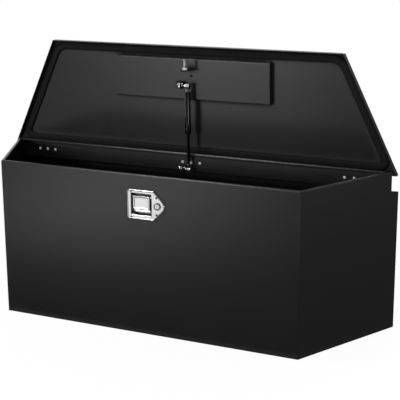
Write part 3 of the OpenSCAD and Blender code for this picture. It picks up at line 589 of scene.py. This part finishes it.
def nitrided(wire):
    """Dark nitrided steel, with fine lines round it from the grinding."""
    grind = wire.noise(900, 2, (0.15, 0.15, 1))
    return {
        "Base Color": wire.blend(grind, grey(0.05), grey(0.09)),
        "Roughness": 0.16 + grind * 0.14,
        "Normal": wire.node("ShaderNodeBump", None,
                            {"Height": grind, "Distance": 0.00002, "Strength": 0.2}),
    }


def die_cast(wire):
    """Die-cast metal under a dull plating, paler along its edges and in a random grain."""
    eased = wire.eased(0.0006)
    grain = wire.noise(420, 4)
    bright = (wire.edges(eased) * 2 + grain * 0.4).clamped()
    return {
        "Base Color": wire.blend(bright, grey(0.16), grey(0.42)),
        "Roughness": 0.24 + grain * 0.16,
        "Normal": wire.bump(grain, 0.0001, eased, 0.35),
    }


gloss_paint = finish("gloss_black_paint", gloss, Specular_IOR_Level=0.5)
nitride = finish("nitrided_rod", nitrided, Metallic=1.0)
cast = finish("die_cast_sockets", die_cast, Metallic=1.0)
dress(gloss_paint, "strut_tube")
dress(nitride, "strut_rod", "rod_guide")
dress(cast, "upper_socket", "lower_socket", "strut_piston")


# The latch's face and cup are pressed from one blank of 1.2 mm stainless sheet: a rolled rim, a
# flat field and a deep cup with a window for the paddle's arm. The front is polished. Four screws
# with nuts hold it to the wall, and the lock stands in its round end.
def polished(wire):
    """Stainless with fine brush lines along X. Deep in the cup it is darker and rougher: partly unpolished
    metal, partly painted shade.
    """
    darkening_starts, darkening_fades = 0.0035, 0.007
    eased = wire.eased(0.0005)
    brush = wire.noise(2200, 2, (0.03, 1, 1))
    haze = wire.noise(70, 3)
    # The darker base colour deep in the cup and behind the face is painted shade, with rougher unpolished
    # metal.
    depth = wire.place().split()[1] - front_face
    unpolished_and_shaded = ((depth - darkening_starts) / darkening_fades).clamped()
    bright = wire.blend(haze, (0.51, 0.515, 0.52, 1), (0.61, 0.61, 0.605, 1))
    return {
        "Base Color": wire.blend(unpolished_and_shaded, bright, grey(0.28)),
        "Roughness": 0.16 + brush * 0.05 + haze * 0.04 + unpolished_and_shaded * 0.3,
        "Normal": wire.bump(brush, 0.00003, eased, 0.12),
    }


stainless = finish("polished_stainless", polished, Metallic=1.0)
latch_z, lock_x, nose_x = 0.373, 0.048, 0.047
cup_middle = Vector((-0.001, 0, 0.374))
cup_half_width, cup_half_height, cup_corner, cup_depth = 0.031, 0.030, 0.003, 0.020


def face_outline(inset):
    """The face plate's edge about X = 0 and the latch's height: square left, round at the lock."""
    left, half, nose, shoulder = -0.045 + inset, 0.0417 - inset, 0.023 - inset, 0.037
    left_corner, right_corner = 0.008 - inset, 0.006
    turn = (math.atan2(half, shoulder - nose_x)
            - math.acos(nose / math.hypot(shoulder - nose_x, half)))
    arc = [Vector((nose_x + nose * math.cos(turn * k / 12), 0, latch_z + nose * math.sin(turn * k / 12)))
           for k in range(-12, 13)]
    low_left, low, high, high_left = [Vector((x, 0, latch_z + sign * half)) for x, sign in
                                      ((left, -1), (shoulder, -1), (shoulder, 1), (left, 1))]
    return (rounded_corner(high_left, low_left, low, left_corner, 8)
            + rounded_corner(low_left, low, arc[0], right_corner, 4)
            + arc
            + rounded_corner(arc[-1], high, high_left, right_corner, 4)
            + rounded_corner(high, high_left, low_left, left_corner, 8))


def cup_outline(grown):
    """The cup's edge, grown outwards."""
    wide, high = cup_half_width + grown, cup_half_height + grown
    corners = [cup_middle + Vector((x * wide, 0, z * high))
               for x, z in ((-1, -1), (1, -1), (1, 1), (-1, 1))]
    return rounded_line(corners, [cup_corner + grown] * 4, 6)


def reach(outline, middle, way):
    """Distance from middle to a closed outline in X and Z, along the unit vector way."""
    def cross(a, b):
        return a.x * b.z - a.z * b.x

    parallel, slack = 1e-12, 1e-6
    longest = 0.0
    for start, end in zip(outline, outline[1:] + outline[:1]):
        edge = end - start
        across = cross(way, edge)
        if abs(across) > parallel:
            along = cross(start - middle, edge) / across
            share = cross(start - middle, way) / across
            if along > 0 and -slack <= share <= 1 + slack:
                longest = max(longest, along)
    return longest


def rings_of(outlines, middle):
    """Rings of points, one for each pair of an outline and a depth, all at the same angles."""
    left_again = -3.14
    marks = [point - middle for outline in (outlines[0][0], outlines[-1][0]) for point in outline]
    angles = sorted({round(math.atan2(mark.z, mark.x), 2) for mark in marks} - {left_again})
    ways = [Vector((math.cos(angle), 0, math.sin(angle))) for angle in angles]
    return [[middle + way * reach(outline, middle, way) + Vector((0, front_face + depth, 0))
             for way in ways] for outline, depth in outlines]


def skin(name, rings):
    """Faces between rings, with the last ring closed by one face. Their fronts look to -Y."""
    count = len(rings[0])
    faces = []
    for start in range(0, (len(rings) - 1) * count, count):
        for i in range(count):
            after = (i + 1) % count
            faces.append((start + i, start + after, start + count + after, start + count + i))
    faces.append([(len(rings) - 1) * count + i for i in range(count)])
    return from_faces(name, [point for ring in rings for point in ring], faces)


def from_faces(name, points, faces):
    """A new object from points and faces."""
    made = bpy.data.meshes.new(name)
    made.from_pydata(points, [], faces)
    return in_scene(name, made)


def block(name, low, high):
    """A closed block between two corners."""
    points = [(x, y, z) for x in (low[0], high[0]) for y in (low[1], high[1]) for z in (low[2], high[2])]
    faces = [(0, 1, 3, 2), (4, 6, 7, 5), (0, 4, 5, 1), (2, 3, 7, 6), (0, 2, 6, 4), (1, 5, 7, 3)]
    return from_faces(name, points, faces)


def bar_between(name, first, last):
    """A closed bar between two rings of points."""
    count = len(first)
    faces = [(i, (i + 1) % count, count + (i + 1) % count, count + i) for i in range(count)]
    faces += [list(range(count))[::-1], list(range(count, 2 * count))]
    return from_faces(name, first + last, faces)


def rod(name, start, along, radius):
    """A closed cylinder with its ends at start and start plus along."""
    sides = 48
    turn = Vector(along).to_track_quat("Z", "Y")
    ring = []
    for i in range(sides):
        angle = 2 * math.pi * i / sides
        ring.append(turn @ Vector((radius * math.cos(angle), radius * math.sin(angle), 0)))
    return bar_between(name, [Vector(start) + point for point in ring],
                       [Vector(start) + Vector(along) + point for point in ring])


def rod_on_pin(name, radius):
    """A rod on the line of the paddle's pin, longer than the latch is wide."""
    reach_x = 0.05
    return rod(name, (-reach_x, pin_y, pin_z), (2 * reach_x, 0, 0), radius)


def thicken(piece, sheet_thickness):
    """Gives a skin its thickness, behind its front."""
    wall = piece.modifiers.new("wall", "SOLIDIFY")
    wall.thickness = sheet_thickness
    wall.offset = -1
    plain(piece)


def cut_away(piece, *tools):
    """Cuts the tools' shapes out of a piece and deletes the tools."""
    for tool in tools:
        step = piece.modifiers.new(tool.name, "BOOLEAN")
        step.operation = "DIFFERENCE"
        step.solver = "EXACT"
        step.object = tool
    plain(piece)
    for tool in tools:
        bpy.data.objects.remove(tool)


def polish(piece):
    """Polished stainless, shaded smooth except across its sharp edges."""
    sharp_angle = math.radians(35)
    made = piece.data
    made.materials.append(stainless)
    made.polygons.foreach_set("use_smooth", [True] * len(made.polygons))
    made.set_sharp_from_angle(angle=sharp_angle)


# Pairs of an inset and a depth over the rolled rim, then of a growth and a depth down the cup.
field_height, dish_sheet = 0.0020, 0.0012
rim = [(0.0, 0.0), (0.0, -0.0013), (0.0004, -0.0021), (0.0012, -0.0027), (0.0021, -0.0029),
       (0.0030, -0.0027), (0.0038, -0.0022), (0.0043, -field_height), (0.0047, -field_height),
       (0.0052, -field_height)]
cup_wall = [(0.0026, -field_height), (0.0021, -field_height), (0.0016, -field_height),
            (0.0009, -0.0018), (0.0003, -0.0013), (0.0, -0.0006),
            (0.0, cup_depth - 0.0014), (-0.0005, cup_depth - 0.0004), (-0.0014, cup_depth)]
outlines = ([(face_outline(inset), depth) for inset, depth in rim]
            + [(cup_outline(grown), depth) for grown, depth in cup_wall])
dish = skin("latch_face_and_cup", rings_of(outlines, cup_middle))
thicken(dish, dish_sheet)
pin_y, pin_z, pin_hole = front_face + 0.005, 0.394, 0.0021
paddle_half, paddle_sheet, barrel_hole = 0.025, 0.002, 0.0081
arm_x = cup_middle.x + paddle_half - paddle_sheet
window_side, window_low, window_high = 0.0015, pin_z - 0.015, pin_z + 0.0055
window_near, window_far = front_face + 0.017, front_face + 0.024
cut_away(dish,
         block("arm_window", (arm_x - window_side, window_near, window_low),
               (arm_x + paddle_sheet + window_side, window_far, window_high)),
         rod("barrel_hole", (lock_x, front_face - 0.005, latch_z), (0, 0.008, 0), barrel_hole),
         rod_on_pin("pin_hole", pin_hole))
polish(dish)
stands_for(dish, "latch_case", "box")
dress(cast, "lock_barrel")
dress(zinc, "paddle_spring", "paddle_pin", "lock_nut", "lock_plug", "lock_cam")
screw = {"radius": 0.0036, "height": 0.0012, "cross": 0.0008, "shank_radius": 0.0024,
         "shank_length": 0.0095, "thread": 0.06, "rings": 48}
small_nut = {"size": 0.008, "height": 0.004}
screw_spots = [(-0.032, 0.037), (-0.032, -0.037), (0.046, 0.024), (0.046, -0.024)]
heads("screws_of_the_latch",
      [((x, front_face - field_height, latch_z + z), IN) for x, z in screw_spots],
      "box", "latch_screws", cast, **screw)
nut("nuts_of_the_latch", [((x, front_face + sheet, latch_z + z), OUT) for x, z in screw_spots],
    "box", "latch_nuts", **small_nut)


# The paddle is folded from thicker stainless sheet. Its face has a raised border and ends in a lip
# that is drawn back for the fingers. Two cheeks carry it on its pin, and the right one has the arm.
paddle_top, paddle_bend, paddle_low = 0.397, 0.360, 0.351
paddle_face = front_face - 0.0015
lip_in, lip_fold = 0.007, 0.005
border, border_height, paddle_corner = 0.0044, 0.0008, 0.003
border_flat, border_slope = border * 0.65, border * 0.35
top_edge, fold = Vector((0, paddle_face, paddle_top)), Vector((0, paddle_face, paddle_bend))
lip_end = Vector((0, paddle_face + lip_in, paddle_low))
face_rows, lip_rows, columns = 44, 8, 81
face_ends, lip_starts = 0.92, 0.4
profile = ([top_edge.lerp(fold, face_ends * i / face_rows) for i in range(face_rows)]
           + rounded_corner(top_edge, fold, lip_end, lip_fold, 8)
           + [fold.lerp(lip_end, lip_starts + (1 - lip_starts) * i / lip_rows)
              for i in range(lip_rows + 1)])


def eased_step(value):
    held = min(max(value, 0.0), 1.0)
    return held * held * (3 - 2 * held)


def paddle_row(i):
    """One row of points across the paddle, sunk inside the border of its flat face."""
    run = (profile[min(i + 1, len(profile) - 1)] - profile[max(i - 1, 0)]).normalized()
    outward = Vector((0, run.z, -run.y))
    from_top, from_fold = paddle_top - profile[i].z, profile[i].z - paddle_bend
    from_end = max(min(from_top, (profile[i] - lip_end).length, paddle_corner), 0.0)
    half = paddle_half - paddle_corner + math.sqrt(paddle_corner ** 2 - (paddle_corner - from_end) ** 2)
    row = []
    for k in range(columns):
        x = half * (2 * k / (columns - 1) - 1)
        inner = min(paddle_half - abs(x), from_top, from_fold)
        sunk = border_height * eased_step((inner - border_flat) / border_slope)
        row.append(profile[i] - outward * sunk + Vector((cup_middle.x + x, 0, 0)))
    return row


def prism(name, outline, low, high):
    """An outline in Y and Z drawn out along X."""
    first, last = [[Vector((x, y, z)) for y, z in outline] for x in (low, high)]
    return bar_between(name, first, last)


def welded(name, *parts):
    """One object from several, each with its normals turned outwards."""
    mesh = bmesh.new()
    for part in parts:
        mesh.from_mesh(part.data)
        bpy.data.objects.remove(part)
    bmesh.ops.recalc_face_normals(mesh, faces=mesh.faces)
    made = bpy.data.meshes.new(name)
    mesh.to_mesh(made)
    mesh.free()
    return in_scene(name, made)


row_points = []
row_faces = []
for i in range(len(profile)):
    row_points += paddle_row(i)
for start in range(0, (len(profile) - 1) * columns, columns):
    for corner in range(start, start + columns - 1):
        row_faces.append((corner, corner + columns, corner + columns + 1, corner + 1))
face_and_lip = from_faces("face_and_lip", row_points, row_faces)
face_sheet, bore_radius = 0.0016, 0.00205
thicken(face_and_lip, face_sheet)
cheek_y, arm_y, arm_half = pin_y + 0.004, pin_y + 0.019, 0.002
cheek_front, cheek_low = paddle_face + 0.0009, paddle_bend + 0.004
cheek_high, cheek_top = paddle_top - 0.003, paddle_top - 0.0005
cheeks = []
for sign, end_y in ((-1, cheek_y), (1, arm_y)):
    middle = cup_middle.x + sign * (paddle_half - paddle_sheet / 2)
    outline = [(cheek_front, cheek_high), (cheek_front, cheek_low),
               (cheek_y, pin_z - 2 * arm_half), (end_y, pin_z - arm_half),
               (end_y, pin_z + arm_half), (cheek_y, cheek_top)]
    cheeks.append(prism("cheek", outline, middle - paddle_sheet / 2, middle + paddle_sheet / 2))
paddle = welded("paddle_with_lip", face_and_lip, *cheeks)
cut_away(paddle, rod_on_pin("bore", bore_radius))
soft_edges = paddle.modifiers.new("soft_edges", "BEVEL")
soft_edges.width = 0.0003
soft_edges.segments = 2
soft_edges.limit_method = "ANGLE"
soft_edges.angle_limit = math.radians(50)
plain(paddle)
polish(paddle)
stands_for(paddle, "paddle", "paddle")


# The works behind the latch are stamped from plated steel and greased: two plates on four
# spacers, with the claw that catches the striker and the pawl that holds the claw.
def stamped(wire):
    """Plated steel with a dull and cloudy skin."""
    eased = wire.eased(0.0005)
    cloud = wire.noise(120, 3)
    return {
        "Base Color": wire.blend(cloud, grey(0.18), grey(0.32)),
        "Roughness": 0.30 + cloud * 0.2,
        "Normal": wire.bump(wire.noise(900, 2), 0.00005, eased, 0.3),
    }


steel = finish("stamped_steel", stamped, Metallic=1.0)
dress(steel, "latch_back_plate", "latch_cover", "latch_spacers", "claw", "claw_pin", "claw_spring",
      "pawl", "pawl_pin")


# The studio is white paper under a white sky, with four softboxes and two low cards. Shiny faces
# mirror a dim room instead, with a bright window at the back left. To them the paper glows as a
# painted reflection: dim, with a painted pool of light on it in front of the box.
def rays(wire, *kinds):
    """1 for rays of the given kinds, and 0 for all others."""
    flags = [wire.node("ShaderNodeLightPath", output=f"Is {kind} Ray") for kind in kinds]
    return sum(flags[1:], flags[0]).clamped()


def soft_lamp(name, place, aim, size, power):
    lamp = bpy.data.lights.new(name, "AREA")
    lamp.shape = "RECTANGLE"
    lamp.size, lamp.size_y = size
    lamp.energy = power
    holder = in_scene(name, lamp)
    holder.location = place
    holder.visible_camera = False
    holder.rotation_euler = (Vector(aim) - Vector(place)).to_track_quat("-Z", "Y").to_euler()


soft_lamp("front_softbox", (-1.12, -2.65, 0.87), (-0.1, -0.17, 0.33), (0.5, 0.5), 18)
soft_lamp("overhead_softbox", (-0.9, -0.8, 2.4), (0, 0.1, 0.4), (0.5, 0.5), 20)
soft_lamp("right_softbox", (2.9, 0.2, 0.7), (0.5, 0, 0.3), (1.0, 0.9), 6)
soft_lamp("rear_softbox", (0.6, 2.2, 1.9), (0, 0.1, 0.4), (1.3, 0.9), 40)
soft_lamp("left_card", (-2.2, -0.5, 0.35), (0, -0.1, 0.4), (0.9, 0.7), 4)
soft_lamp("right_card", (1.1, -0.9, 0.22), (0, 0.1, 0.5), (0.3, 0.2), 1.2)

ambient, mirrored_front, mirrored_back = 0.75, 0.06, 1.0
rear_pull, right_push, window_edge = 2.4, 1.5, 1.8
world = bpy.data.worlds.new("white_sky")
bpy.context.scene.world = world
world.use_nodes = True
sky = Wire(world.node_tree)
backdrop = world.node_tree.nodes["Background"]
backdrop.inputs["Strength"].default_value = 1.0
to_right, to_rear, _ = sky.node("ShaderNodeTexCoord", output="Generated").split()
to_window = (to_rear * rear_pull - to_right * right_push - window_edge).clamped()
plain_sky = sky.blend(rays(sky, "Camera", "Transmission"), grey(ambient), grey(1.0))
mirrored_sky = sky.blend(to_window, grey(mirrored_front), grey(mirrored_back))
seen_sky = sky.blend(rays(sky, "Glossy"), plain_sky, mirrored_sky)
world.node_tree.links.new(seen_sky.socket, backdrop.inputs["Color"])

floor_half, floor_z, paper_white = 9.0, -0.0002, 0.88
shadow_share, shadow_reach, shadow_fade = 0.05, 1.6, 0.9
pool_middle, pool_reach, painted_pool_light, painted_paper_dim = (-0.8, -1.5, 0), 0.9, 2.0, 0.09
floor_corners = [(x * floor_half, y * floor_half, floor_z)
                 for x, y in ((-1, -1), (1, -1), (1, 1), (-1, 1))]
studio_floor = from_faces("studio_floor", floor_corners, [(0, 1, 2, 3)])
paper = bpy.data.materials.new("white_paper")
paper.use_nodes = True
paper_wire = Wire(paper.node_tree)
lit = paper_wire.node("ShaderNodeBsdfDiffuse", None, {"Color": grey(paper_white)})
# To shiny faces the paper glows: a painted reflection, dim but for a painted pool of light.
from_pool = paper_wire.vector("SUBTRACT", paper_wire.place(), pool_middle).length() / pool_reach
pool = (1 - from_pool ** 2).clamped() ** 2
painted_paper_reflection = paper_wire.blend(pool, grey(painted_paper_dim), grey(painted_pool_light))
shade = paper_wire.blend(rays(paper_wire, "Glossy"), grey(1.0), painted_paper_reflection)
glow = paper_wire.node("ShaderNodeEmission", None, {"Color": shade, "Strength": 1.0})
near = ((shadow_reach - paper_wire.place().length()) / shadow_fade).clamped()
seen_paper = rays(paper_wire, "Camera", "Transmission") * (1 - near * shadow_share)
shown = seen_paper.most(rays(paper_wire, "Glossy"))
paper_mix = paper_wire.node("ShaderNodeMixShader", None, {0: shown, 1: lit, 2: glow})
paper.node_tree.links.new(paper_mix.socket, paper.node_tree.nodes["Material Output"].inputs["Surface"])
studio_floor.data.materials.append(paper)

# The camera stands where the photograph was taken from. Its place, its turn and its focal length
# were found by fitting the box's corners.
photo_width = 400
focal_pixels = 1087.2
camera_place = (1.3683, -2.6856, 1.1214)
view_azimuth = math.radians(25.367)
view_elevation = math.radians(14.427)
view_roll = math.radians(-0.354)
lens = bpy.data.cameras.new("photo_camera")
lens.sensor_width = 36
lens.lens = focal_pixels / photo_width * lens.sensor_width
lens.clip_start = 0.05
photo_camera = in_scene("photo_camera", lens)
photo_camera.matrix_world = (Matrix.Translation(camera_place)
                             @ Matrix.Rotation(view_azimuth, 4, "Z")
                             @ Matrix.Rotation(math.pi / 2 - view_elevation, 4, "X")
                             @ Matrix.Rotation(view_roll, 4, "Z"))
bpy.context.scene.camera = photo_camera
bpy.context.scene.view_settings.view_transform = "Standard"
